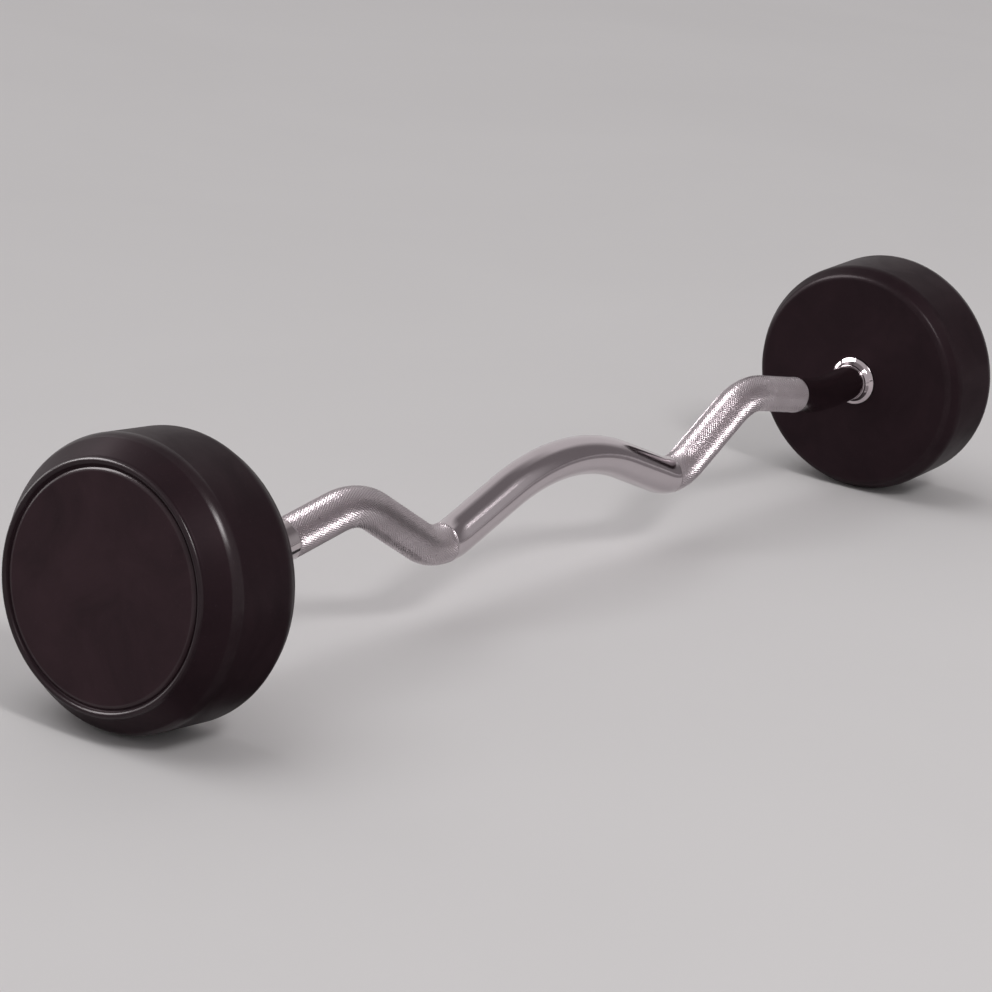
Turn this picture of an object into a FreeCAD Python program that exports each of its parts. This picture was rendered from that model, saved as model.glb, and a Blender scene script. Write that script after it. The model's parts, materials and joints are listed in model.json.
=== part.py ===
import FreeCAD, Part
import math
import os

# EZ curl bar with two rubber-covered weight heads that turn on bushes.
# Millimetres, +Z up, +X along the bar, floor at Z = 0 under the middle of the bar.

# Bar: one round steel rod, bent in the XZ plane, the same on both sides of the middle
bar_diameter = 28.0
hump_half_span = 149.8
grip_span = 94.8
rise_span = 112.9
shank_span = 59.1
hump_height = 17.7
lower_bend_drop = 37.6
outer_bend_height = 15.7
hump_radius = 210.0
lower_bend_radius = 53.0
outer_bend_radius = 68.0
shank_bend_radius = 180.0

# Each head leans outwards and up by this angle, square to the end of the bar (degrees)
head_tilt = 3.8

# Turned end of the bar that carries a head: it is stepped down from the bar
shoulder_step = 1.5
spigot_chamfer = 1.0
bolt_hole_spare_depth = 5.0

# Outside of the rubber head, inner face first
face_radius = 85.7
face_rim_rounding = 8.0
tread_radius = 91.85
inner_bevel_length = 11.5
tread_edge_rounding = 12.0
tread_length = 50.0
lip_rounding = 12.0
shoulder_length = 15.7
shoulder_drop = 12.9
bead_height = 2.8
bead_width = 5.1
bead_flank_run = 0.8
bead_foot_rounding = 3.0
bead_crown_share = 0.94
recess_depth = 2.4
recess_wall_run = 1.2
rubber_wall = 7.0

# Flat cover set into the outer face of the head, with a plug that closes the bolt pocket
cover_thickness = 1.6
cover_groove = 0.7
cover_edge_run = 1.4
cover_rounding = 3.5
cover_plug_length = 4.2
cover_bolt_gap = 1.2

# Collar at the inner face of the head
collar_step = 5.0
collar_reach = 7.6
collar_seat_depth = 1.4
collar_rounding = 4.0
collar_hole_gap = 0.5

# Bearing: a steel sleeve in the core, with a flanged bush in each end
bush_wall = 3.5
bush_length_share = 0.4
bush_flange_thickness = 2.0
sleeve_wall = 3.0
thrust_washer_thickness = 1.5
thrust_washer_inset = 1.0

# End fixing: bolt with a hexagon socket, split washer and plain washer
retaining_washer_overlap = 1.0
retaining_washer_thickness = 4.0
lock_washer_diameter = 21.0
lock_washer_thickness = 3.0
lock_washer_slot = 2.0
bolt_diameter = 12.0
bolt_length = 40.0
bolt_head_diameter = 18.0
bolt_head_height = 12.0
bolt_head_rounding = 1.0
socket_across_flats = 10.0
socket_depth = 6.0
pocket_room = 10.0

# Clearances: running fit on the spigot, seated pieces, bolt hole, washers, end play of the head
running_gap = 0.03
seat_gap = 0.05
bolt_gap = 0.05
washer_gap = 0.25
end_play = 0.1

# How far each cutting tool runs past the face that it opens
overrun = 1.0

# Places along a head's axis, from its inner face outwards
bar_shoulder = -collar_reach
thrust_washer_end = collar_seat_depth + thrust_washer_thickness
flange_start = thrust_washer_end + end_play
sleeve_start = flange_start + bush_flange_thickness
tread_end = inner_bevel_length + tread_length
bead_base = tread_end + shoulder_length
bead_top = bead_base + bead_height
recess_floor = bead_top - recess_depth
core_end = recess_floor - rubber_wall
plug_start = recess_floor - cover_plug_length
bolt_head_end = plug_start - cover_bolt_gap
lock_washer_end = bolt_head_end - bolt_head_height
retaining_washer_end = lock_washer_end - lock_washer_thickness
spigot_end = retaining_washer_end - retaining_washer_thickness
flange_end = spigot_end - 2 * end_play
sleeve_end = flange_end - bush_flange_thickness
bush_length = bush_length_share * (sleeve_end - sleeve_start)
bolt_tip = lock_washer_end - bolt_length

# Radii that follow from the sizes above
bar_radius = bar_diameter / 2
spigot_radius = bar_radius - shoulder_step
bush_radius = spigot_radius + bush_wall
sleeve_radius = bush_radius + sleeve_wall
collar_radius = bar_radius + collar_step
thrust_washer_radius = collar_radius - thrust_washer_inset
retaining_washer_radius = sleeve_radius + retaining_washer_overlap
pocket_radius = retaining_washer_radius + pocket_room
bolt_radius = bolt_diameter / 2
bead_outer_radius = tread_radius - shoulder_drop
recess_radius = bead_outer_radius - bead_width
cover_radius = recess_radius - cover_groove

# The bead's sides lean in towards its crown, which is as round as its width lets it be
crown_width = bead_width - bead_flank_run - recess_wall_run
flank_turn = math.atan2(bead_height, bead_flank_run)
recess_wall_turn = math.atan2(recess_depth, recess_wall_run)
widest_rounding = crown_width / (math.tan(flank_turn / 2) + math.tan(recess_wall_turn / 2))
bead_rounding = bead_crown_share * min(widest_rounding, bead_height, recess_depth)

# Half of the distance between the heads' inner faces, and the drop of the shank bend
half_inside = hump_half_span + grip_span + rise_span + shank_span
tilt = math.radians(head_tilt)
shank_drop = shank_span * math.tan(tilt)

# Slopes of the two bevels of the head
bevel_angle = math.atan2(tread_radius - face_radius, inner_bevel_length)
shoulder_angle = math.atan2(shoulder_drop, shoulder_length)

# Height of a head's centre over the floor: it stands on the rounded inner edge of its tread
edge_centre = inner_bevel_length + tread_edge_rounding * math.tan(bevel_angle / 2)
edge_centre_radius = tread_radius - tread_edge_rounding
axis_height = edge_centre_radius * math.cos(tilt) - edge_centre * math.sin(tilt) + tread_edge_rounding

HEXAGON_SIDES = 6
HEAD_AXIS = FreeCAD.Vector(1, 0, 0)


def outline_edges(corners, closed):
    """Straight edges through (x, y, rounding) corners, with an arc at each rounded corner."""
    points = [FreeCAD.Vector(x, y, 0) for x, y, rounding in corners]
    count = len(points)
    entries = []
    exits = []
    arcs = []
    for index, (x, y, rounding) in enumerate(corners):
        here = points[index]
        if rounding == 0:
            entries.append(here)
            exits.append(here)
            arcs.append(None)
            continue
        back = (points[index - 1] - here).normalize()
        ahead = (points[(index + 1) % count] - here).normalize()
        half_angle = back.getAngle(ahead) / 2
        tangent = rounding / math.tan(half_angle)
        middle = (back + ahead).normalize()
        crown = here + middle * (rounding / math.sin(half_angle) - rounding)
        entries.append(here + back * tangent)
        exits.append(here + ahead * tangent)
        arcs.append(Part.Arc(entries[-1], crown, exits[-1]).toShape())
    edges = []
    for index in range(count):
        if arcs[index] is not None:
            edges.append(arcs[index])
        if closed or index < count - 1:
            edges.append(Part.LineSegment(exits[index], entries[(index + 1) % count]).toShape())
    return edges


def turned(corners):
    """Solid of revolution about the head's axis, from (place, radius, rounding) corners."""
    face = Part.Face(Part.Wire(outline_edges(corners, True)))
    return face.revolve(FreeCAD.Vector(0, 0, 0), HEAD_AXIS, 360)


def rod(start, end, radius):
    return Part.makeCylinder(radius, end - start, FreeCAD.Vector(start, 0, 0), HEAD_AXIS)


def ring(start, end, outer_radius, inner_radius):
    bore = rod(start - overrun, end + overrun, inner_radius)
    return rod(start, end, outer_radius).cut(bore)


def head_place(side):
    """Placement of the right head (side 1) or the left head (side -1) from its own axis."""
    lean = FreeCAD.Rotation(FreeCAD.Vector(0, 1, 0), -head_tilt)
    place = FreeCAD.Placement(FreeCAD.Vector(half_inside, 0, axis_height), lean)
    if side > 0:
        return place
    half_turn = FreeCAD.Rotation(FreeCAD.Vector(0, 0, 1), 180)
    return FreeCAD.Placement(FreeCAD.Vector(0, 0, 0), half_turn).multiply(place)


def placed(shape, side):
    moved = shape.copy()
    moved.Placement = head_place(side).multiply(moved.Placement)
    return moved


def bar_route():
    """Centre line of the bar from the left shoulder to the right one, in the XZ plane."""
    shoulder_x = half_inside + bar_shoulder * math.cos(tilt)
    shoulder_z = bar_shoulder * math.sin(tilt)
    shank_x = hump_half_span + grip_span + rise_span
    right_side = [
        (hump_half_span, -lower_bend_drop, lower_bend_radius),
        (hump_half_span + grip_span, outer_bend_height, outer_bend_radius),
        (shank_x, -shank_drop, shank_bend_radius),
        (shoulder_x, shoulder_z, 0),
    ]
    left_side = [(-x, z, rounding) for x, z, rounding in reversed(right_side)]
    corners = left_side + [(0, hump_height, hump_radius)] + right_side
    upright = FreeCAD.Rotation(FreeCAD.Vector(1, 0, 0), 90)
    wire = Part.Wire(outline_edges(corners, False))
    wire.Placement = FreeCAD.Placement(FreeCAD.Vector(0, 0, axis_height), upright)
    return wire


def bar_spigot():
    return turned([
        (bar_shoulder, 0, 0),
        (bar_shoulder, spigot_radius, 0),
        (spigot_end - spigot_chamfer, spigot_radius, 0),
        (spigot_end, spigot_radius - spigot_chamfer, 0),
        (spigot_end, 0, 0),
    ])


def bolt_hole():
    hole_bottom = bolt_tip - bolt_hole_spare_depth
    return rod(hole_bottom, spigot_end + overrun, bolt_radius + bolt_gap)


def ez_bar():
    """The bent rod, with a spigot and a bolt hole at each end."""
    start = placed(Part.Vertex(bar_shoulder, 0, 0), -1).Point
    end_axis = head_place(-1).Rotation.multVec(HEAD_AXIS)
    section = Part.Wire(Part.makeCircle(bar_radius, start, end_axis))
    bar = bar_route().makePipeShell([section], True, False)
    for side in (-1, 1):
        bar = bar.fuse(placed(bar_spigot(), side))
        bar = bar.cut(placed(bolt_hole(), side))
    return bar.removeSplitter()


def inner_collar():
    bore_radius = spigot_radius + seat_gap
    return turned([
        (bar_shoulder, bore_radius, 0),
        (bar_shoulder, collar_radius, collar_rounding),
        (collar_seat_depth, collar_radius, 0),
        (collar_seat_depth, bore_radius, 0),
    ])


def thrust_washer():
    hole_radius = spigot_radius + washer_gap
    return ring(collar_seat_depth, thrust_washer_end, thrust_washer_radius, hole_radius)


def flanged_bush(flange_face, flange_back, body_end):
    """Bush bored to run on the spigot: a flange between two places and a body to the third."""
    bore_radius = spigot_radius + running_gap
    body_radius = bush_radius - seat_gap
    return turned([
        (flange_face, bore_radius, 0),
        (flange_face, sleeve_radius, 0),
        (flange_back, sleeve_radius, 0),
        (flange_back, body_radius, 0),
        (body_end, body_radius, 0),
        (body_end, bore_radius, 0),
    ])


def inner_bush():
    return flanged_bush(flange_start, sleeve_start, sleeve_start + bush_length)


def outer_bush():
    return flanged_bush(flange_end, sleeve_end, sleeve_end - bush_length)


def hub_sleeve():
    return ring(sleeve_start, sleeve_end, sleeve_radius, bush_radius)


def head_outside():
    """The head's outer form as one solid, with the bead and the recess for the cover."""
    return turned([
        (0, 0, 0),
        (0, face_radius, face_rim_rounding),
        (inner_bevel_length, tread_radius, tread_edge_rounding),
        (tread_end, tread_radius, lip_rounding),
        (bead_base, bead_outer_radius, bead_foot_rounding),
        (bead_top, bead_outer_radius - bead_flank_run, bead_rounding),
        (bead_top, recess_radius + recess_wall_run, bead_rounding),
        (recess_floor, recess_radius, 0),
        (recess_floor, 0, 0),
    ])


def core_outside():
    """The core's outer form: the head's form brought in by the wall of the rubber."""
    core_radius = tread_radius - rubber_wall
    bevel_slope = math.tan(bevel_angle)
    face_edge = face_radius + bevel_slope * sleeve_start - rubber_wall / math.cos(bevel_angle)
    bevel_end = sleeve_start + (core_radius - face_edge) / bevel_slope
    shoulder_slope = math.tan(shoulder_angle)
    shoulder_radius = tread_radius - shoulder_slope * (core_end - tread_end)
    outer_edge = shoulder_radius - rubber_wall / math.cos(shoulder_angle)
    shoulder_start = core_end - (core_radius - outer_edge) / shoulder_slope
    return turned([
        (sleeve_start, 0, 0),
        (sleeve_start, face_edge, 0),
        (bevel_end, core_radius, 0),
        (shoulder_start, core_radius, 0),
        (core_end, outer_edge, 0),
        (core_end, 0, 0),
    ])


def weight_core():
    bore = rod(sleeve_start - overrun, core_end, sleeve_radius + seat_gap)
    pocket = rod(sleeve_end, core_end + overrun, pocket_radius)
    return core_outside().cut(bore).cut(pocket)


def rubber_jacket():
    collar_hole = rod(-overrun, sleeve_start, collar_radius + collar_hole_gap)
    flange_room = rod(collar_seat_depth, sleeve_start, sleeve_radius + collar_hole_gap)
    pocket = rod(core_end - overrun, recess_floor + overrun, pocket_radius)
    jacket = head_outside().cut(core_outside())
    return jacket.cut(collar_hole.fuse(flange_room).removeSplitter()).cut(pocket)


def end_cover():
    cover_face = recess_floor + cover_thickness
    plug_radius = pocket_radius - seat_gap
    return turned([
        (plug_start, 0, 0),
        (plug_start, plug_radius, 0),
        (recess_floor, plug_radius, 0),
        (recess_floor, cover_radius, 0),
        (cover_face, cover_radius - cover_edge_run, cover_rounding),
        (cover_face, 0, 0),
    ])


def retaining_washer():
    return ring(spigot_end, retaining_washer_end, retaining_washer_radius, bolt_radius + washer_gap)


def lock_washer():
    """Spring washer: a ring with one slot through it."""
    outer_radius = lock_washer_diameter / 2
    washer = ring(retaining_washer_end, lock_washer_end, outer_radius, bolt_radius + washer_gap)
    slot_corner = FreeCAD.Vector(retaining_washer_end - overrun, -lock_washer_slot / 2, 0)
    slot_length = lock_washer_thickness + 2 * overrun
    slot = Part.makeBox(slot_length, lock_washer_slot, outer_radius + overrun, slot_corner)
    return washer.cut(slot)


def hexagon_socket():
    corner_radius = socket_across_flats / 2 / math.cos(math.pi / HEXAGON_SIDES)
    corners = []
    for step in range(HEXAGON_SIDES + 1):
        angle = step * 2 * math.pi / HEXAGON_SIDES
        y = corner_radius * math.cos(angle)
        z = corner_radius * math.sin(angle)
        corners.append(FreeCAD.Vector(bolt_head_end - socket_depth, y, z))
    hexagon = Part.Face(Part.makePolygon(corners))
    return hexagon.extrude(HEAD_AXIS * (socket_depth + overrun))


def end_bolt():
    blank = turned([
        (bolt_tip, 0, 0),
        (bolt_tip, bolt_radius, 0),
        (lock_washer_end, bolt_radius, 0),
        (lock_washer_end, bolt_head_diameter / 2, 0),
        (bolt_head_end, bolt_head_diameter / 2, bolt_head_rounding),
        (bolt_head_end, 0, 0),
    ])
    return blank.cut(hexagon_socket())


SIDE_PIECES = {
    "inner_collar": inner_collar,
    "thrust_washer": thrust_washer,
    "inner_bush": inner_bush,
    "hub_sleeve": hub_sleeve,
    "outer_bush": outer_bush,
    "weight_core": weight_core,
    "rubber_jacket": rubber_jacket,
    "end_cover": end_cover,
    "retaining_washer": retaining_washer,
    "lock_washer": lock_washer,
    "end_bolt": end_bolt,
}


def main():
    os.makedirs("parts", exist_ok=True)
    ez_bar().exportStep("parts/ez_bar.step")
    for name, make in SIDE_PIECES.items():
        piece = make()
        for side_name, side in (("left", -1), ("right", 1)):
            placed(piece, side).exportStep("parts/%s_%s.step" % (side_name, name))


main()
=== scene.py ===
import json
import math

import bmesh
import bpy
from mathutils import Matrix, Quaternion, Vector


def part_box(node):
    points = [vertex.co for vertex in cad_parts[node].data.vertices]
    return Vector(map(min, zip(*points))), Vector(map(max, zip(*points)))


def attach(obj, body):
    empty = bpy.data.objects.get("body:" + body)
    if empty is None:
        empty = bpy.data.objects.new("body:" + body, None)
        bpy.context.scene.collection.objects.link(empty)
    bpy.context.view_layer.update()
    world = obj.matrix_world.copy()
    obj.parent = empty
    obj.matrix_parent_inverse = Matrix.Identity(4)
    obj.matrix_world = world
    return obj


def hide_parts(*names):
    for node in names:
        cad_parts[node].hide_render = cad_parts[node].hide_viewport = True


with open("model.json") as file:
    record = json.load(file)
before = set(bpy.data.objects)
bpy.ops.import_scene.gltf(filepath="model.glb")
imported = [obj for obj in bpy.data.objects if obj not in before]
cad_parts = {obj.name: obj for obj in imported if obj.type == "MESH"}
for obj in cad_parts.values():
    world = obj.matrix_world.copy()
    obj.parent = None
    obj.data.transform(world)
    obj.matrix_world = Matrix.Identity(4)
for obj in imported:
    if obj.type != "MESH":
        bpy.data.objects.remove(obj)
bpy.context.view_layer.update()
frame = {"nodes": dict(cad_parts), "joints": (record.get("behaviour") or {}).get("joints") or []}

# EZ curl bar: a bent chrome bar with knurled grips and a rubber-covered weight head on each end.
# Metres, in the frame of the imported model: +X along the bar, +Z up, floor at Z = 0.

# Where the heads sit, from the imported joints
head_joints = {joint["child"]: joint for joint in frame["joints"]}
right_hinge = head_joints["right_head"]
half_inside = right_hinge["pos_m"][0]
axis_height = right_hinge["pos_m"][2]
lean_cosine = right_hinge["axis"][0]
lean_sine = right_hinge["axis"][2]

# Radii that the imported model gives
bar_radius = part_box("ez_bar")[1].y
collar_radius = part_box("right_inner_collar")[1].y
tread_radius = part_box("right_rubber_jacket")[1].y
cover_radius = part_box("right_end_cover")[1].y

# Route of the bar: spans along X, heights over the heads' axis, bend radii
hump_half_span = 0.1498
grip_span = 0.0948
rise_span = 0.1129
shank_span = 0.0591
hump_height = 0.0177
lower_bend_drop = 0.0376
outer_bend_height = 0.0157
hump_radius = 0.210
lower_bend_radius = 0.053
outer_bend_radius = 0.068
shank_bend_radius = 0.180

# Knurling: grooves at 30 degrees to the bar leave rows of small flat-topped diamonds
knurl_inner_end = 0.142
knurl_outer_end = 0.320
diamonds_round = 50
bar_columns = 2 * diamonds_round
diamond_stretch = 1.73
diamond_land_share = 0.14
groove_depth = 0.00060
smooth_ring_step = 0.0025

# Turned end of the bar and its bolt hole: places along a head's axis from its inner face
bar_shoulder = -0.0076
spigot_radius = 0.0125
spigot_end = 0.0532
spigot_chamfer = 0.0010
bolt_hole_radius = 0.00605
bolt_hole_bottom = 0.0152

# Outside of the rubber head
collar_hole_radius = 0.0195
face_radius = 0.0857
face_rim_rounding = 0.0055
inner_bevel_length = 0.0115
tread_edge_rounding = 0.0120
tread_end = 0.0615
lip_rounding = 0.0120
bead_base = 0.0772
bead_top = 0.0800
bead_outer_radius = 0.07895
bead_flank_run = 0.0008
bead_foot_rounding = 0.0030
bead_rounding = 0.0021
recess_radius = 0.07385
recess_wall_run = 0.0012
recess_floor = 0.0776
pocket_radius = 0.0300

# Inside of the rubber: it fits round the iron core
core_start = 0.0050
core_end = 0.0706
core_radius = 0.08485
core_face_radius = 0.08044
core_bevel_end = 0.01325
core_shoulder_start = 0.05899
core_rim_radius = 0.07531

# Cover disc in the outer face
cover_face = 0.0792
cover_edge_run = 0.0014
cover_rounding = 0.0035
cover_centre_radius = 0.0040
plug_start = 0.0734
plug_radius = 0.02995

# Collar between the bar and the head
collar_back = 0.0014
collar_bore_radius = 0.01255
collar_hub_radius = 0.0143
collar_hub_end = -0.0058
collar_cone_end = -0.0027
collar_cone_radius = 0.0163
collar_rim_start = -0.0011
collar_flare_rounding = 0.0016
collar_edge_rounding = 0.0005

# How finely round forms are cut
turned_segments = 240
rounding_step_degrees = 5.0
longest_outline_step = 0.006
guard_step = 0.0004
shortest_split = 5 * guard_step
distance_tolerance = 1e-7
sharp_turned_degrees = 40.0
sharp_bar_degrees = 35.0

# Slots of the bar's finishes
hump_slot = 0
knurl_slot = 1
shank_slot = 2
spigot_slot = 3


# Outlines

def rounded_outline(corners):
    """Points through (place, radius, rounding) corners, with an arc at each rounded corner."""
    count = len(corners)
    points = []
    for index, (place, radius, rounding) in enumerate(corners):
        here = Vector((place, radius))
        if rounding == 0:
            points.append(here)
            continue
        back = (Vector(corners[index - 1][:2]) - here).normalized()
        ahead = (Vector(corners[(index + 1) % count][:2]) - here).normalized()
        half_angle = back.angle(ahead) / 2
        centre = here + (back + ahead).normalized() * (rounding / math.sin(half_angle))
        start = here + back * (rounding / math.tan(half_angle)) - centre
        sweep = math.pi - 2 * half_angle
        turn_sign = 1 if start.x * ahead.y - start.y * ahead.x > 0 else -1
        steps = max(2, round(math.degrees(sweep) / rounding_step_degrees))
        for step in range(steps + 1):
            angle = turn_sign * sweep * step / steps
            turned_x = start.x * math.cos(angle) - start.y * math.sin(angle)
            turned_y = start.x * math.sin(angle) + start.y * math.cos(angle)
            points.append(centre + Vector((turned_x, turned_y)))
    return points


def split_long_steps(points, closed):
    """The same outline, with straight stretches cut into even steps between short guard steps.

    Two guard steps at each end keep the gloss of a rounded edge from spreading over the flat beside it.
    """
    filled = []
    last = len(points) if closed else len(points) - 1
    for index in range(last):
        start = points[index]
        end = points[(index + 1) % len(points)]
        length = (end - start).length
        filled.append(start)
        if length < shortest_split:
            continue
        guard_share = guard_step / length
        steps = max(1, math.ceil(length / longest_outline_step))
        shares = [2 * guard_share + (1 - 4 * guard_share) * step / steps for step in range(steps + 1)]
        for share in [guard_share] + shares + [1 - guard_share]:
            filled.append(start.lerp(end, share))
    if not closed:
        filled.append(points[-1])
    return filled


# Meshes

def head_place(head):
    """Place of a head's own axis: X outwards along its hinge, from the head's inner face."""
    joint = head_joints[head]
    outward = Vector(joint["axis"]).normalized()
    sideways = Vector((0, 0, 1)).cross(outward).normalized()
    upward = outward.cross(sideways)
    place = Matrix((outward, sideways, upward)).transposed().to_4x4()
    place.translation = Vector(joint["pos_m"])
    return place


def shown_object(name, shape, materials):
    """Object of a finished bmesh, with its normals outwards."""
    bmesh.ops.recalc_face_normals(shape, faces=shape.faces)
    mesh = bpy.data.meshes.new(name)
    shape.to_mesh(mesh)
    shape.free()
    for material in materials:
        mesh.materials.append(material)
    piece = bpy.data.objects.new(name, mesh)
    bpy.context.scene.collection.objects.link(piece)
    return piece


def turned_piece(name, head, outline, closed, material):
    """Piece turned about a head's axis from (place, radius) points; an open outline gets flat ends."""
    shape = bmesh.new()
    rings = []
    for place, radius in split_long_steps(outline, closed):
        ring = []
        for segment in range(turned_segments):
            angle = 2 * math.pi * segment / turned_segments
            ring.append(shape.verts.new((place, radius * math.cos(angle), radius * math.sin(angle))))
        rings.append(ring)
    pairs = list(zip(rings, rings[1:]))
    if closed:
        pairs.append((rings[-1], rings[0]))
    else:
        shape.faces.new(rings[0]).smooth = True
        shape.faces.new(rings[-1]).smooth = True
    for first, second in pairs:
        join_rings(shape, first, second, 0)
    for edge in shape.edges:
        edge.smooth = edge.calc_face_angle(0) < math.radians(sharp_turned_degrees)
    shape.transform(head_place(head))
    return shown_object(name, shape, [material])


def join_rings(shape, first, second, finish):
    """Smooth faces between two rings of as many points."""
    for index in range(len(first)):
        after = (index + 1) % len(first)
        face = shape.faces.new((first[index], second[index], second[after], first[after]))
        face.material_index = finish
        face.smooth = True


# The bar

def bar_runs():
    """Centre line from the left shoulder to the right one: straight runs and arcs in the XZ plane."""
    shank_x = hump_half_span + grip_span + rise_span
    shank_drop = shank_span * lean_sine / lean_cosine
    shoulder_x = half_inside + bar_shoulder * lean_cosine
    right_side = [
        (hump_half_span, -lower_bend_drop, lower_bend_radius),
        (hump_half_span + grip_span, outer_bend_height, outer_bend_radius),
        (shank_x, -shank_drop, shank_bend_radius),
        (shoulder_x, bar_shoulder * lean_sine, 0),
    ]
    left_side = [(-x, z, rounding) for x, z, rounding in reversed(right_side)]
    corners = left_side + [(0, hump_height, hump_radius)] + right_side
    runs = []
    reached = Vector(corners[0][:2])
    for index in range(1, len(corners) - 1):
        here = Vector(corners[index][:2])
        rounding = corners[index][2]
        back = (Vector(corners[index - 1][:2]) - here).normalized()
        ahead = (Vector(corners[index + 1][:2]) - here).normalized()
        turn = math.pi - back.angle(ahead)
        if back.x * ahead.y - back.y * ahead.x > 0:
            turn = -turn
        entry = here + back * (rounding * math.tan(abs(turn) / 2))
        runs.append((reached, -back, (entry - reached).length, 0))
        runs.append((entry, -back, rounding * abs(turn), turn))
        reached = here + ahead * (rounding * math.tan(abs(turn) / 2))
    end = Vector(corners[-1][:2])
    runs.append((reached, (end - reached).normalized(), (end - reached).length, 0))
    return runs


def turned_by(direction, angle):
    return Vector((
        direction.x * math.cos(angle) - direction.y * math.sin(angle),
        direction.x * math.sin(angle) + direction.y * math.cos(angle),
    ))


def bar_point(runs, distance):
    """(point, direction) of the centre line at a distance along it."""
    for start, direction, length, turn in runs:
        if distance <= length or (start, direction, length, turn) == runs[-1]:
            break
        distance -= length
    if turn == 0:
        return start + direction * distance, direction
    angle = turn * distance / length
    side = Vector((-direction.y, direction.x))
    radius = length / turn
    point = start + direction * (radius * math.sin(angle)) + side * (radius * (1 - math.cos(angle)))
    return point, turned_by(direction, angle)


def distance_at(runs, x):
    """Distance along the centre line at which it reaches a place along X."""
    low = 0.0
    high = sum(length for start, direction, length, turn in runs)
    while high - low > distance_tolerance:
        middle = (low + high) / 2
        if bar_point(runs, middle)[0].x < x:
            low = middle
        else:
            high = middle
    return low


def bar_skin_point(runs, distance, turn_share, radius):
    """Point on the bar's skin: a distance along it, a share of a full turn round it, a radius."""
    point, direction = bar_point(runs, distance)
    angle = 2 * math.pi * turn_share
    outward = radius * math.cos(angle)
    x = point.x - direction.y * outward
    z = axis_height + point.y + direction.x * outward
    return (x, radius * math.sin(angle), z)


def bar_ring(shape, runs, distance):
    """Ring of points round the bar at a distance along it."""
    ring = []
    for column in range(bar_columns):
        ring.append(shape.verts.new(bar_skin_point(runs, distance, column / bar_columns, bar_radius)))
    return ring


def smooth_stretch(shape, runs, ring, start, end, finish):
    """Plain round bar from one distance to another, and its last ring."""
    steps = math.ceil((end - start) / smooth_ring_step)
    for step in range(1, steps + 1):
        following = bar_ring(shape, runs, start + (end - start) * step / steps)
        join_rings(shape, ring, following, finish)
        ring = following
    return ring


def knurled_stretch(shape, runs, ring, start, end, finish):
    """Knurled bar: every diamond has four groove corners, four sloping walls and a flat land."""
    diamond_width = 2 * math.pi * bar_radius / diamonds_round
    rows = 2 * round((end - start) / (diamond_width * diamond_stretch))
    row_step = (end - start) / rows
    last_ring = bar_ring(shape, runs, end)
    grid = [ring]
    for row in range(1, rows):
        bottoms = []
        for column in range(bar_columns):
            corner = None
            if (row + column) % 2 == 0:
                place = bar_skin_point(
                    runs, start + row * row_step, column / bar_columns, bar_radius - groove_depth)
                corner = shape.verts.new(place)
            bottoms.append(corner)
        grid.append(bottoms)
    grid.append(last_ring)
    for row in range(1, rows):
        for column in range(1 - row % 2, bar_columns, 2):
            diamond(shape, runs, grid, row, column, start, row_step, finish)
    for edge_row, next_row in ((0, 1), (rows, rows - 1)):
        for column in range(1 - edge_row % 2, bar_columns, 2):
            before = grid[edge_row][column - 1]
            here = grid[edge_row][column]
            after = grid[edge_row][(column + 1) % bar_columns]
            bottom = grid[next_row][column]
            for corners in ((before, here, bottom), (here, after, bottom)):
                shape.faces.new(corners).material_index = finish
    return last_ring


def diamond(shape, runs, grid, row, column, start, row_step, finish):
    offsets = ((0, -1), (-1, 0), (0, 1), (1, 0))
    feet = [grid[row + down][(column + across) % bar_columns] for down, across in offsets]
    land = []
    for down, across in offsets:
        distance = start + (row + down * diamond_land_share) * row_step
        turn_share = (column + across * diamond_land_share) / bar_columns
        land.append(shape.verts.new(bar_skin_point(runs, distance, turn_share, bar_radius)))
    faces = [shape.faces.new(land)]
    for corner in range(4):
        after = (corner + 1) % 4
        faces.append(shape.faces.new((feet[corner], feet[after], land[after], land[corner])))
    for face in faces:
        face.material_index = finish


def bar_end(shape, head, outer_ring, finish):
    """Shoulder, spigot, chamfer and bolt hole at one end, from the ring at the shoulder."""
    place = head_place(head)
    outline = [
        (bar_shoulder, spigot_radius),
        (spigot_end - spigot_chamfer, spigot_radius),
        (spigot_end, spigot_radius - spigot_chamfer),
        (spigot_end, bolt_hole_radius),
        (bolt_hole_bottom, bolt_hole_radius),
    ]
    outward = place.inverted() @ outer_ring[0].co
    start_angle = math.atan2(outward.z, outward.y)
    second = place.inverted() @ outer_ring[1].co
    direction = 1 if outward.y * second.z - outward.z * second.y > 0 else -1
    ring = outer_ring
    for along, radius in outline:
        following = []
        for column in range(bar_columns):
            angle = start_angle + direction * 2 * math.pi * column / bar_columns
            local = Vector((along, radius * math.cos(angle), radius * math.sin(angle)))
            following.append(shape.verts.new(place @ local))
        join_rings(shape, ring, following, finish)
        ring = following
    shape.faces.new(ring).material_index = finish


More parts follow.
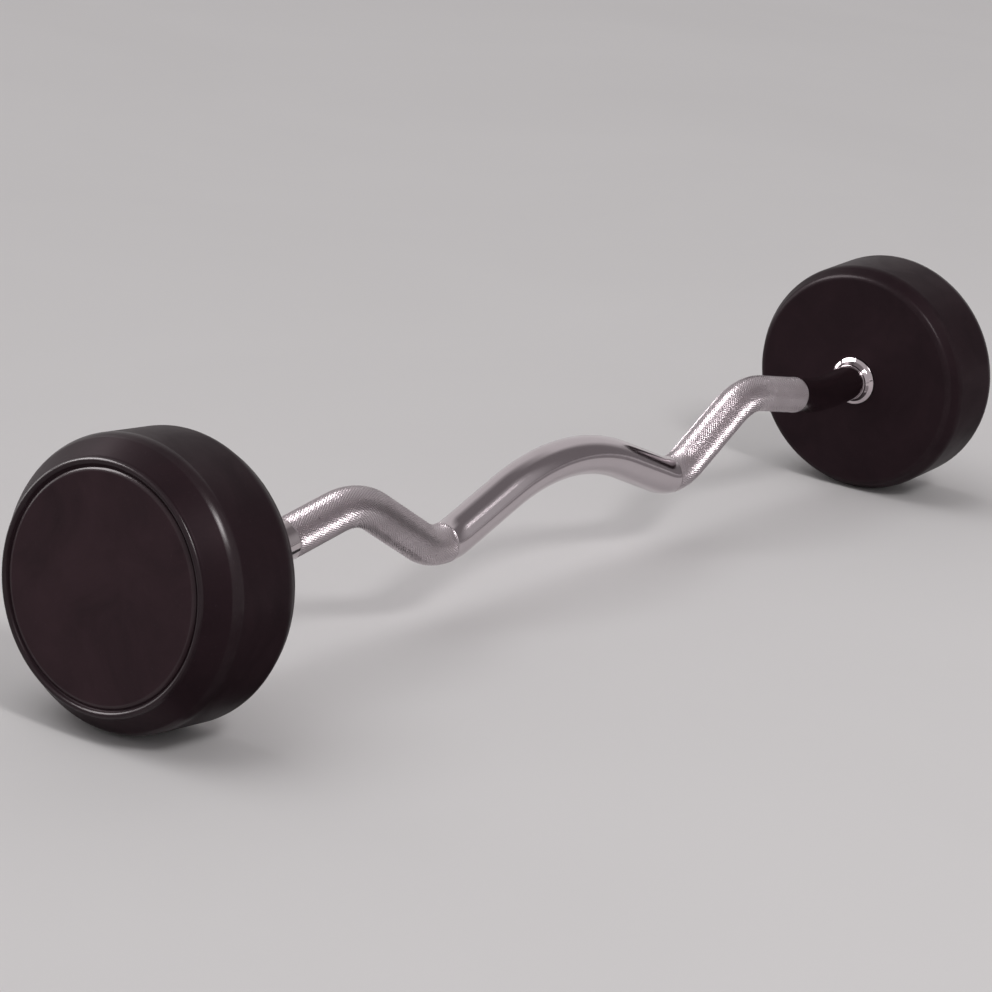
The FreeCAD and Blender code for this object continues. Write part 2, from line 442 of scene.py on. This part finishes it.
def ez_bar(smooth_finish, knurled_finish, shank_finish, spigot_finish):
    """The whole bar as one closed skin: smooth hump, knurled grips, polished shanks, spigots."""
    runs = bar_runs()
    shape = bmesh.new()
    places = [-knurl_outer_end, -knurl_inner_end, knurl_inner_end, knurl_outer_end]
    stops = [distance_at(runs, x) for x in places]
    stops.append(sum(length for start, direction, length, turn in runs))
    first_ring = bar_ring(shape, runs, 0)
    ring = smooth_stretch(shape, runs, first_ring, 0, stops[0], shank_slot)
    ring = knurled_stretch(shape, runs, ring, stops[0], stops[1], knurl_slot)
    ring = smooth_stretch(shape, runs, ring, stops[1], stops[2], hump_slot)
    ring = knurled_stretch(shape, runs, ring, stops[2], stops[3], knurl_slot)
    ring = smooth_stretch(shape, runs, ring, stops[3], stops[4], shank_slot)
    bar_end(shape, "left_head", first_ring, spigot_slot)
    bar_end(shape, "right_head", ring, spigot_slot)
    for edge in shape.edges:
        finishes = {face.material_index for face in edge.link_faces}
        edge.smooth = len(finishes) == 1 and edge.calc_face_angle(0) < math.radians(sharp_bar_degrees)
    return shown_object("bent_bar", shape, [smooth_finish, knurled_finish, shank_finish, spigot_finish])


# Pieces of the heads

def jacket_outline():
    return rounded_outline([
        (0, collar_hole_radius, 0),
        (0, face_radius, face_rim_rounding),
        (inner_bevel_length, tread_radius, tread_edge_rounding),
        (tread_end, tread_radius, lip_rounding),
        (bead_base, bead_outer_radius, bead_foot_rounding),
        (bead_top, bead_outer_radius - bead_flank_run, bead_rounding),
        (bead_top, recess_radius + recess_wall_run, bead_rounding),
        (recess_floor, recess_radius, 0),
        (recess_floor, pocket_radius, 0),
        (core_end, pocket_radius, 0),
        (core_end, core_rim_radius, 0),
        (core_shoulder_start, core_radius, 0),
        (core_bevel_end, core_radius, 0),
        (core_start, core_face_radius, 0),
        (core_start, collar_hole_radius, 0),
    ])


def cover_outline():
    return rounded_outline([
        (cover_face, cover_centre_radius, 0),
        (cover_face, cover_radius - cover_edge_run, cover_rounding),
        (recess_floor, cover_radius, 0),
        (recess_floor, plug_radius, 0),
        (plug_start, plug_radius, 0),
        (plug_start, cover_centre_radius, 0),
    ])


def collar_outline():
    return rounded_outline([
        (bar_shoulder, collar_bore_radius, 0),
        (bar_shoulder, collar_hub_radius, collar_edge_rounding),
        (collar_hub_end, collar_hub_radius, collar_flare_rounding),
        (collar_cone_end, collar_cone_radius, collar_flare_rounding),
        (collar_rim_start, collar_radius, collar_edge_rounding),
        (collar_back, collar_radius, 0),
        (collar_back, collar_bore_radius, 0),
    ])


# Shader helpers: a mix node has other sockets for plain numbers, so those for colours go by place

mix_share_socket = 0
mix_first_socket = 6
mix_second_socket = 7
mix_result_socket = 2


def add_node(tree, kind, settings=None, **inputs):
    """New node with its settings, and its inputs given as values or as other nodes' outputs."""
    node = tree.nodes.new(kind)
    for name, value in (settings or {}).items():
        setattr(node, name, value)
    for name, value in inputs.items():
        set_input(tree, node.inputs[name.replace("_", " ")], value)
    return node


def set_input(tree, socket, value):
    if isinstance(value, bpy.types.NodeSocket):
        tree.links.new(value, socket)
    else:
        socket.default_value = value


def sums(tree, operation, first, second):
    node = add_node(tree, "ShaderNodeMath", {"operation": operation})
    set_input(tree, node.inputs[0], first)
    set_input(tree, node.inputs[1], second)
    return node.outputs[0]


def ranged(tree, value, low, high, new_low, new_high):
    node = add_node(tree, "ShaderNodeMapRange", Value=value)
    for name, number in (("From Min", low), ("From Max", high), ("To Min", new_low), ("To Max", new_high)):
        set_input(tree, node.inputs[name], number)
    return node.outputs["Result"]


def mixed(tree, share, first, second):
    """Colour between two colours."""
    node = add_node(tree, "ShaderNodeMix", {"data_type": "RGBA"})
    set_input(tree, node.inputs[mix_share_socket], share)
    set_input(tree, node.inputs[mix_first_socket], first)
    set_input(tree, node.inputs[mix_second_socket], second)
    return node.outputs[mix_result_socket]


def new_group(name, inputs, outputs):
    """Empty shader node group with named sockets: (group, its inputs, its output node)."""
    group = bpy.data.node_groups.new(name, "ShaderNodeTree")
    for socket_name, start in inputs.items():
        socket = group.interface.new_socket(socket_name, in_out="INPUT", socket_type="NodeSocketFloat")
        socket.default_value = start
    for socket_name in outputs:
        group.interface.new_socket(socket_name, in_out="OUTPUT", socket_type="NodeSocketFloat")
    entry = group.nodes.new("NodeGroupInput")
    exit_node = group.nodes.new("NodeGroupOutput")
    return group, entry.outputs, exit_node


def place_group(tree, group, **inputs):
    node = tree.nodes.new("ShaderNodeGroup")
    node.node_tree = group
    for name, value in inputs.items():
        set_input(tree, node.inputs[name.replace("_", " ")], value)
    return node.outputs


# Effects that several finishes share

def edge_wear_and_hollow_shade_group():
    """Edge: convex edges. Worn: the same, broken up by patches. The third output: hollows and corners,
    broken up by patches, for darkening that is partly grime and partly painted shade.
    """
    group, given, results = new_group(
        "worn_edges",
        {
            "Edge Start": 0.51,
            "Edge Full": 0.56,
            "Hollow Start": 0.49,
            "Hollow Full": 0.44,
            "Patch Scale": 90.0,
        },
        ["Edge", "Worn", "Grime"],
    )
    point = add_node(group, "ShaderNodeNewGeometry").outputs["Pointiness"]
    spot = add_node(group, "ShaderNodeTexCoord").outputs["Object"]
    patches = add_node(group, "ShaderNodeTexNoise", Vector=spot, Scale=given["Patch Scale"], Detail=5.0)
    broken = ranged(group, patches.outputs["Fac"], 0.36, 0.62, 0.15, 1.0)
    edges = ranged(group, point, given["Edge Start"], given["Edge Full"], 0.0, 1.0)
    # Hollows and corners, where chrome is darkened: grime, and painted shade as well
    hollows = ranged(group, point, given["Hollow Start"], given["Hollow Full"], 0.0, 1.0)
    set_input(group, results.inputs["Edge"], edges)
    set_input(group, results.inputs["Worn"], sums(group, "MULTIPLY", edges, broken))
    set_input(group, results.inputs["Grime"], sums(group, "MULTIPLY", hollows, broken))
    return group


def patchy_group():
    """Mottle: soft cloudy patches. Specks: small scattered spots."""
    group, given, results = new_group(
        "patchy_surface", {"Patch Scale": 30.0, "Speck Scale": 900.0}, ["Mottle", "Specks"])
    spot = add_node(group, "ShaderNodeTexCoord").outputs["Object"]
    clouds = add_node(
        group, "ShaderNodeTexNoise", Vector=spot, Scale=given["Patch Scale"],
        Detail=6.0, Roughness=0.58, Distortion=0.6)
    fine = add_node(group, "ShaderNodeTexNoise", Vector=spot, Scale=given["Speck Scale"], Detail=2.0)
    mottle = ranged(group, clouds.outputs["Fac"], 0.30, 0.70, 0.0, 1.0)
    specks = ranged(group, fine.outputs["Fac"], 0.66, 0.76, 0.0, 1.0)
    set_input(group, results.inputs["Mottle"], mottle)
    set_input(group, results.inputs["Specks"], specks)
    return group


def grain_group():
    """Height: fine even grain over slow waves, as a mould or a casting leaves it."""
    group, given, results = new_group(
        "surface_grain", {"Grain Scale": 1800.0, "Wave Scale": 45.0, "Wave Share": 0.5}, ["Height"])
    spot = add_node(group, "ShaderNodeTexCoord").outputs["Object"]
    grain = add_node(group, "ShaderNodeTexNoise", Vector=spot, Scale=given["Grain Scale"], Detail=3.0)
    waves = add_node(group, "ShaderNodeTexNoise", Vector=spot, Scale=given["Wave Scale"], Detail=1.0)
    raised = sums(group, "MULTIPLY", waves.outputs["Fac"], given["Wave Share"])
    set_input(group, results.inputs["Height"], sums(group, "ADD", grain.outputs["Fac"], raised))
    return group


def turned_lines_group():
    """Lines: fine rings round a head's axis, as a lathe tool or a polishing belt leaves them."""
    group, given, results = new_group("turned_lines", {"Line Scale": 2500.0}, ["Lines"])
    spot = add_node(group, "ShaderNodeTexCoord").outputs["Object"]
    parts = add_node(group, "ShaderNodeSeparateXYZ", Vector=spot).outputs
    out = sums(group, "SUBTRACT", sums(group, "ABSOLUTE", parts["X"], 0.0), half_inside)
    up = sums(group, "SUBTRACT", parts["Z"], axis_height)
    along_out = sums(group, "MULTIPLY", out, lean_cosine)
    along = sums(group, "MULTIPLY_ADD", up, lean_sine)
    set_input(group, along.node.inputs[2], along_out)
    across_up = sums(group, "MULTIPLY", up, lean_cosine)
    across = sums(group, "MULTIPLY_ADD", out, -lean_sine)
    set_input(group, across.node.inputs[2], across_up)
    flat = add_node(group, "ShaderNodeCombineXYZ", X=parts["Y"], Y=across)
    radius = add_node(group, "ShaderNodeVectorMath", {"operation": "LENGTH"})
    set_input(group, radius.inputs[0], flat.outputs["Vector"])
    rings = add_node(group, "ShaderNodeCombineXYZ", X=along, Y=radius.outputs["Value"])
    lines = add_node(
        group, "ShaderNodeTexNoise", Vector=rings.outputs["Vector"], Scale=given["Line Scale"], Detail=2.0)
    set_input(group, results.inputs["Lines"], lines.outputs["Fac"])
    return group


worn_edges = edge_wear_and_hollow_shade_group()
patchy_surface = patchy_group()
surface_grain = grain_group()
turned_lines = turned_lines_group()


# Finishes

speck_share = 0.15
rubbed_share = 0.06
inner_edge_gloss = 0.08
outer_edge_gloss = 0.42
edge_gloss_roughness = 0.22
rubber_sheen = 0.06
rubber_sheen_tint = (1.0, 0.78, 0.84, 1)
handled_share = 0.5
# Share of the darkening in chrome hollows: grime and painted shade
hollow_grime_and_shade_share = 0.6
pit_roughness = 0.12
bright_edge_share = 0.5
pore_share = 0.7
bare_edge_share = 0.6
rubber_grain_strength = 0.07
rubber_grain_depth = 0.0002
turned_line_strength = 0.25
turned_line_depth = 0.00005
iron_grain_strength = 0.5
iron_grain_depth = 0.0003
iron_metallic = 0.6
card_roughness = 0.9


def new_finish(name):
    """Empty material: (material, its node tree, its Principled shader)."""
    material = bpy.data.materials.new(name)
    material.use_nodes = True
    tree = material.node_tree
    tree.nodes.clear()
    shader = tree.nodes.new("ShaderNodeBsdfPrincipled")
    output = tree.nodes.new("ShaderNodeOutputMaterial")
    tree.links.new(shader.outputs["BSDF"], output.inputs["Surface"])
    return material, tree, shader


def bumped(tree, shader, height, strength, depth):
    bump = add_node(tree, "ShaderNodeBump", Strength=strength, Distance=depth, Height=height)
    set_input(tree, shader.inputs["Normal"], bump.outputs["Normal"])


def rubber(name, dark, light, scuffed, patch_scale, smooth, rough):
    """Moulded black rubber: cloudy warm black, a fine matt grain, glossy where outer edges rub smooth."""
    material, tree, shader = new_finish(name)
    patches = place_group(tree, patchy_surface, Patch_Scale=patch_scale, Speck_Scale=700.0)
    edges = place_group(tree, worn_edges, Edge_Start=0.503, Edge_Full=0.507, Patch_Scale=120.0)
    grain = place_group(tree, surface_grain, Grain_Scale=1500.0, Wave_Scale=55.0, Wave_Share=1.6)
    base = mixed(tree, patches["Mottle"], dark, light)
    dusty = mixed(tree, sums(tree, "MULTIPLY", patches["Specks"], speck_share), base, scuffed)
    rubbed = mixed(tree, sums(tree, "MULTIPLY", edges["Worn"], rubbed_share), dusty, scuffed)
    set_input(tree, shader.inputs["Base Color"], rubbed)
    even = ranged(tree, patches["Mottle"], 0.0, 1.0, rough, smooth)
    set_input(tree, shader.inputs["Roughness"], even)
    spot = add_node(tree, "ShaderNodeTexCoord").outputs["Object"]
    along = sums(tree, "ABSOLUTE", add_node(tree, "ShaderNodeSeparateXYZ", Vector=spot).outputs["X"], 0.0)
    inner_edge = half_inside + inner_bevel_length
    outer_edge = half_inside + tread_end
    gloss = ranged(tree, along, inner_edge, outer_edge, inner_edge_gloss, outer_edge_gloss)
    set_input(tree, shader.inputs["Coat Weight"], sums(tree, "MULTIPLY", edges["Edge"], gloss))
    shader.inputs["Coat Roughness"].default_value = edge_gloss_roughness
    shader.inputs["Specular IOR Level"].default_value = rubber_sheen
    shader.inputs["Specular Tint"].default_value = rubber_sheen_tint
    bumped(tree, shader, grain["Height"], rubber_grain_strength, rubber_grain_depth)
    return material


def chrome(name, bright, dull, smooth, rough, mark_scale, ripple, ripple_depth,
           grain_scale=2600.0, wave_share=3.0):
    """Chrome plate: handled patches that dull it, darker hollows (grime and painted shade), ripples in the
    polish.
    """
    material, tree, shader = new_finish(name)
    shader.inputs["Metallic"].default_value = 1.0
    patches = place_group(tree, patchy_surface, Patch_Scale=mark_scale, Speck_Scale=1400.0)
    edges = place_group(tree, worn_edges, Edge_Start=0.52, Edge_Full=0.60, Patch_Scale=200.0)
    grain = place_group(
        tree, surface_grain, Grain_Scale=grain_scale, Wave_Scale=70.0, Wave_Share=wave_share)
    plate = mixed(tree, sums(tree, "MULTIPLY", patches["Mottle"], handled_share), bright, dull)
    # Hollows such as the knurl's grooves are darkened: partly grime, partly painted shade
    grimy_and_shaded = mixed(tree, sums(tree, "MULTIPLY", edges["Grime"], hollow_grime_and_shade_share), plate, dull)
    set_input(tree, shader.inputs["Base Color"], grimy_and_shaded)
    handled = ranged(tree, patches["Mottle"], 0.0, 1.0, smooth, rough)
    pitted = sums(tree, "MULTIPLY", patches["Specks"], pit_roughness)
    set_input(tree, shader.inputs["Roughness"], sums(tree, "ADD", handled, pitted))
    bumped(tree, shader, grain["Height"], ripple, ripple_depth)
    return material


def machined(name, bright, dull, smooth, rough, line_scale, metallic=1.0):
    """Turned or rolled metal inside the head: fine rings, uneven tone, brighter edges."""
    material, tree, shader = new_finish(name)
    shader.inputs["Metallic"].default_value = metallic
    patches = place_group(tree, patchy_surface, Patch_Scale=60.0, Speck_Scale=1100.0)
    edges = place_group(tree, worn_edges, Edge_Start=0.52, Edge_Full=0.62, Patch_Scale=160.0)
    lines = place_group(tree, turned_lines, Line_Scale=line_scale)
    plate = mixed(tree, patches["Mottle"], dull, bright)
    rubbed = mixed(tree, sums(tree, "MULTIPLY", edges["Worn"], bright_edge_share), plate, bright)
    set_input(tree, shader.inputs["Base Color"], rubbed)
    set_input(tree, shader.inputs["Roughness"], ranged(tree, lines["Lines"], 0.3, 0.7, smooth, rough))
    bumped(tree, shader, lines["Lines"], turned_line_strength, turned_line_depth)
    return material


def cast_iron():
    """Grey cast iron of the core: sandy skin, dark pores, rust tone in patches."""
    material, tree, shader = new_finish("cast_iron")
    shader.inputs["Metallic"].default_value = iron_metallic
    patches = place_group(tree, patchy_surface, Patch_Scale=45.0, Speck_Scale=500.0)
    edges = place_group(tree, worn_edges, Edge_Start=0.52, Edge_Full=0.62, Patch_Scale=80.0)
    grain = place_group(tree, surface_grain, Grain_Scale=700.0, Wave_Scale=90.0, Wave_Share=0.8)
    skin = mixed(tree, patches["Mottle"], (0.055, 0.053, 0.052, 1), (0.100, 0.088, 0.080, 1))
    pores = sums(tree, "MULTIPLY", patches["Specks"], pore_share)
    pored = mixed(tree, pores, skin, (0.020, 0.018, 0.017, 1))
    bare_edges = sums(tree, "MULTIPLY", edges["Worn"], bare_edge_share)
    rubbed = mixed(tree, bare_edges, pored, (0.260, 0.255, 0.250, 1))
    set_input(tree, shader.inputs["Base Color"], rubbed)
    set_input(tree, shader.inputs["Roughness"], ranged(tree, patches["Mottle"], 0.0, 1.0, 0.52, 0.72))
    bumped(tree, shader, grain["Height"], iron_grain_strength, iron_grain_depth)
    return material


def floor_finish():
    """Plain pale studio floor, quite matt, with the faintest unevenness."""
    material, tree, shader = new_finish("pale_floor")
    patches = place_group(tree, patchy_surface, Patch_Scale=1.5, Speck_Scale=60.0)
    shade = mixed(tree, patches["Mottle"], (0.715, 0.705, 0.705, 1), (0.735, 0.725, 0.725, 1))
    set_input(tree, shader.inputs["Base Color"], shade)
    set_input(tree, shader.inputs["Roughness"], ranged(tree, patches["Mottle"], 0.0, 1.0, 0.60, 0.66))
    shader.inputs["Specular IOR Level"].default_value = 0.0
    return material


def card_finish(name, dark, light):
    """Flocked card with a little dust, whose dark tone is painted shade in the reflections of the floor.
    """
    material, tree, shader = new_finish(name)
    patches = place_group(tree, patchy_surface, Patch_Scale=3.0, Speck_Scale=80.0)
    shade = mixed(tree, patches["Mottle"], dark, light)
    set_input(tree, shader.inputs["Base Color"], shade)
    shader.inputs["Roughness"].default_value = card_roughness
    return material


jacket_rubber = rubber(
    "jacket_rubber", dark=(0.0172, 0.0096, 0.0122, 1), light=(0.0250, 0.0140, 0.0175, 1),
    scuffed=(0.070, 0.058, 0.061, 1), patch_scale=26.0, smooth=0.36, rough=0.46)
disc_rubber = rubber(
    "disc_rubber", dark=(0.0230, 0.0126, 0.0158, 1), light=(0.0425, 0.0238, 0.0288, 1),
    scuffed=(0.075, 0.062, 0.065, 1), patch_scale=18.0, smooth=0.34, rough=0.46)
smooth_chrome = chrome(
    "smooth_chrome", bright=(0.60, 0.545, 0.57, 1), dull=(0.52, 0.465, 0.485, 1),
    smooth=0.11, rough=0.16, mark_scale=22.0, ripple=0.03, ripple_depth=0.0002)
knurled_chrome = chrome(
    "knurled_chrome", bright=(0.60, 0.545, 0.57, 1), dull=(0.40, 0.35, 0.37, 1),
    smooth=0.26, rough=0.34, mark_scale=40.0, ripple=0.8, ripple_depth=0.0004,
    grain_scale=500.0, wave_share=0.3)
shank_chrome = chrome(
    "shank_chrome", bright=(0.62, 0.565, 0.58, 1), dull=(0.54, 0.49, 0.50, 1),
    smooth=0.05, rough=0.10, mark_scale=26.0, ripple=0.03, ripple_depth=0.0001)
collar_chrome = chrome(
    "collar_chrome", bright=(0.70, 0.62, 0.65, 1), dull=(0.60, 0.53, 0.56, 1),
    smooth=0.04, rough=0.09, mark_scale=60.0, ripple=0.03, ripple_depth=0.0001)
spigot_steel = machined(
    "spigot_steel", bright=(0.50, 0.49, 0.48, 1), dull=(0.38, 0.37, 0.36, 1),
    smooth=0.22, rough=0.38, line_scale=2600.0)
sleeve_steel = machined(
    "sleeve_steel", bright=(0.44, 0.43, 0.42, 1), dull=(0.32, 0.31, 0.30, 1),
    smooth=0.26, rough=0.42, line_scale=2200.0)
bush_bronze = machined(
    "bush_bronze", bright=(0.62, 0.38, 0.17, 1), dull=(0.44, 0.24, 0.10, 1),
    smooth=0.24, rough=0.42, line_scale=2400.0)
washer_zinc = machined(
    "washer_zinc", bright=(0.60, 0.61, 0.63, 1), dull=(0.46, 0.47, 0.49, 1),
    smooth=0.28, rough=0.44, line_scale=1500.0)
spring_steel = machined(
    "spring_steel", bright=(0.22, 0.22, 0.23, 1), dull=(0.12, 0.12, 0.13, 1),
    smooth=0.34, rough=0.50, line_scale=1200.0)
bolt_black = machined(
    "bolt_black", bright=(0.060, 0.058, 0.060, 1), dull=(0.028, 0.027, 0.028, 1),
    smooth=0.34, rough=0.52, line_scale=2000.0, metallic=0.7)
core_iron = cast_iron()
black_card = card_finish("black_card", dark=(0.012, 0.011, 0.011, 1), light=(0.020, 0.018, 0.019, 1))
grey_card = card_finish("grey_card", dark=(0.26, 0.245, 0.25, 1), light=(0.30, 0.285, 0.29, 1))


# The dressed object

def dress_bar():
    bar = ez_bar(smooth_chrome, knurled_chrome, shank_chrome, spigot_steel)
    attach(bar, "bar")
    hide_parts("ez_bar")


def dress_side(side):
    head = side + "_head"
    jacket = turned_piece(side + "_jacket", head, jacket_outline(), closed=True, material=jacket_rubber)
    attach(jacket, head)
    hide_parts(side + "_rubber_jacket")
    cover = turned_piece(side + "_cover_disc", head, cover_outline(), closed=False, material=disc_rubber)
    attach(cover, head)
    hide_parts(side + "_end_cover")
    collar = turned_piece(side + "_collar", head, collar_outline(), closed=True, material=collar_chrome)
    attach(collar, "bar")
    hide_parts(side + "_inner_collar")
    kept_pieces = {
        "weight_core": core_iron,
        "hub_sleeve": sleeve_steel,
        "inner_bush": bush_bronze,
        "outer_bush": bush_bronze,
        "thrust_washer": washer_zinc,
        "retaining_washer": washer_zinc,
        "lock_washer": spring_steel,
        "end_bolt": bolt_black,
    }
    for name, finish in kept_pieces.items():
        for holder in frame["nodes"][side + "_" + name].material_slots:
            holder.material = finish


# Studio

floor_size = 60.0
photo_lens = 125.965
photo_sensor = 36.0
photo_place = Vector((-2.00358, -1.27672, 0.72692))
photo_direction = Vector((0.80193, 0.53310, -0.26964))
photo_roll_degrees = 5.787
backdrop_direction = (0.7071, 0.7071, 0)
room_colour = (0.20, 0.185, 0.19, 1)
backdrop_colour = (0.66, 0.64, 0.64, 1)
front_wall_colour = (0.50, 0.485, 0.49, 1)
backdrop_edge = (0.50, 0.71)
front_wall_edge = (-0.09, 0.10)
ceiling_edge = (0.70, 0.90)
card_height = 0.004
soft_white = (1.0, 0.98, 0.98)
back_white = (1.0, 0.97, 0.98)
fill_strength = 0.8
fill_spread_degrees = 50.0
fill_direction = Vector((0.25, -0.30, -1.0))
far_clip = 200.0


def studio_floor():
    shape = bmesh.new()
    bmesh.ops.create_grid(shape, x_segments=4, y_segments=4, size=floor_size / 2)
    floor = shown_object("studio_floor", shape, [floor_finish()])


def floor_shade_card(name, finish, x, y, width, depth):
    """Dark card flat on the floor, seen only in reflections: painted shade where glossy surfaces mirror
    the floor.
    """
    shape = bmesh.new()
    bmesh.ops.create_grid(shape, x_segments=2, y_segments=2, size=0.5)
    shape.transform(Matrix.Diagonal((width, depth, 1, 1)))
    shape.transform(Matrix.Translation((x, y, card_height)))
    card = shown_object(name, shape, [finish])
    card.visible_camera = False
    card.visible_diffuse = False
    card.visible_shadow = False


def soft_panel(name, place, target, width, height, brightness, colour, lights_matt):
    """Soft box aimed at a target; one that doesn't light matt surfaces shows only as a reflection."""
    lamp = bpy.data.lights.new(name, "AREA")
    lamp.shape = "RECTANGLE"
    lamp.size = width
    lamp.size_y = height
    lamp.energy = brightness * width * height * math.pi
    lamp.color = colour
    light = bpy.data.objects.new(name, lamp)
    light.location = place
    light.rotation_euler = (Vector(target) - Vector(place)).to_track_quat("-Z", "Y").to_euler()
    light.visible_camera = False
    light.visible_diffuse = lights_matt
    bpy.context.scene.collection.objects.link(light)


def floor_fill():
    """Even light from above for the floor, which glossy surfaces don't mirror."""
    lamp = bpy.data.lights.new("floor_fill", "SUN")
    lamp.energy = fill_strength
    lamp.angle = math.radians(fill_spread_degrees)
    light = bpy.data.objects.new("floor_fill", lamp)
    light.rotation_euler = fill_direction.to_track_quat("-Z", "Y").to_euler()
    light.visible_glossy = False
    bpy.context.scene.collection.objects.link(light)


def studio_air():
    """Light of the room: a backdrop behind the bar, a pale wall in front, dark gaps and a dark ceiling."""
    world = bpy.data.worlds.new("studio_air")
    world.use_nodes = True
    tree = world.node_tree
    tree.nodes.clear()
    way = add_node(tree, "ShaderNodeTexCoord").outputs["Generated"]
    parts = add_node(tree, "ShaderNodeSeparateXYZ", Vector=way).outputs
    level = add_node(tree, "ShaderNodeCombineXYZ", X=parts["X"], Y=parts["Y"])
    level_way = add_node(tree, "ShaderNodeVectorMath", {"operation": "NORMALIZE"})
    set_input(tree, level_way.inputs[0], level.outputs["Vector"])
    towards_backdrop = add_node(tree, "ShaderNodeVectorMath", {"operation": "DOT_PRODUCT"})
    set_input(tree, towards_backdrop.inputs[0], level_way.outputs["Vector"])
    set_input(tree, towards_backdrop.inputs[1], backdrop_direction)
    facing = towards_backdrop.outputs["Value"]
    backdrop_share = ranged(tree, facing, *backdrop_edge, 0.0, 1.0)
    front_share = ranged(tree, facing, *front_wall_edge, 1.0, 0.0)
    lit_share = ranged(tree, parts["Z"], *ceiling_edge, 1.0, 0.0)
    walls = mixed(tree, backdrop_share, room_colour, backdrop_colour)
    walls = mixed(tree, front_share, walls, front_wall_colour)
    colour = mixed(tree, lit_share, room_colour, walls)
    light = add_node(tree, "ShaderNodeBackground", Color=colour, Strength=1.0)
    output = tree.nodes.new("ShaderNodeOutputWorld")
    tree.links.new(light.outputs["Background"], output.inputs["Surface"])
    bpy.context.scene.world = world


def photo_camera():
    """Camera at the photograph's place, looking down along the bar, a little rolled."""
    lens = bpy.data.cameras.new("photo_camera")
    lens.lens = photo_lens
    lens.sensor_width = photo_sensor
    lens.clip_end = far_clip
    camera = bpy.data.objects.new("photo_camera", lens)
    camera.location = photo_place
    level = photo_direction.to_track_quat("-Z", "Y")
    roll = Quaternion((0, 0, 1), math.radians(photo_roll_degrees))
    camera.rotation_mode = "QUATERNION"
    camera.rotation_quaternion = level @ roll
    bpy.context.scene.collection.objects.link(camera)
    bpy.context.scene.camera = camera


dress_bar()
for side in ("left", "right"):
    dress_side(side)
studio_floor()
# Cards hidden from the camera put painted shade into the floor's reflections in the bar and the heads
floor_shade_card("front_card", grey_card, x=0.60, y=-1.90, width=3.2, depth=2.2)
floor_shade_card("side_card", grey_card, x=0.80, y=-0.45, width=0.8, depth=0.7)
floor_shade_card("left_card", black_card, x=-0.475, y=-0.32, width=0.65, depth=0.52)
studio_air()
soft_panel(
    "key_panel", place=(-1.10, -2.60, 3.00), target=(-0.3, 0.0, 0.1), width=1.5, height=1.5,
    brightness=10.0, colour=soft_white, lights_matt=False)
soft_panel(
    "key_core", place=(-1.09, -2.56, 2.96), target=(-0.3, 0.0, 0.1), width=0.7, height=0.7,
    brightness=22.0, colour=soft_white, lights_matt=True)
soft_panel(
    "low_panel", place=(-1.30, 3.20, 0.40), target=(-1.3, 0.0, 0.40), width=2.8, height=0.8,
    brightness=4.0, colour=soft_white, lights_matt=False)
soft_panel(
    "back_panel", place=(-1.60, 2.60, 2.00), target=(0.0, 0.0, 0.1), width=2.5, height=1.7,
    brightness=17.0, colour=back_white, lights_matt=False)
soft_panel(
    "strip_panel", place=(1.59, -2.35, 2.71), target=(-0.1, 0.0, 0.1), width=0.06, height=1.0,
    brightness=4.0, colour=soft_white, lights_matt=False)
floor_fill()
photo_camera()
bpy.context.scene.view_settings.view_transform = "Standard"
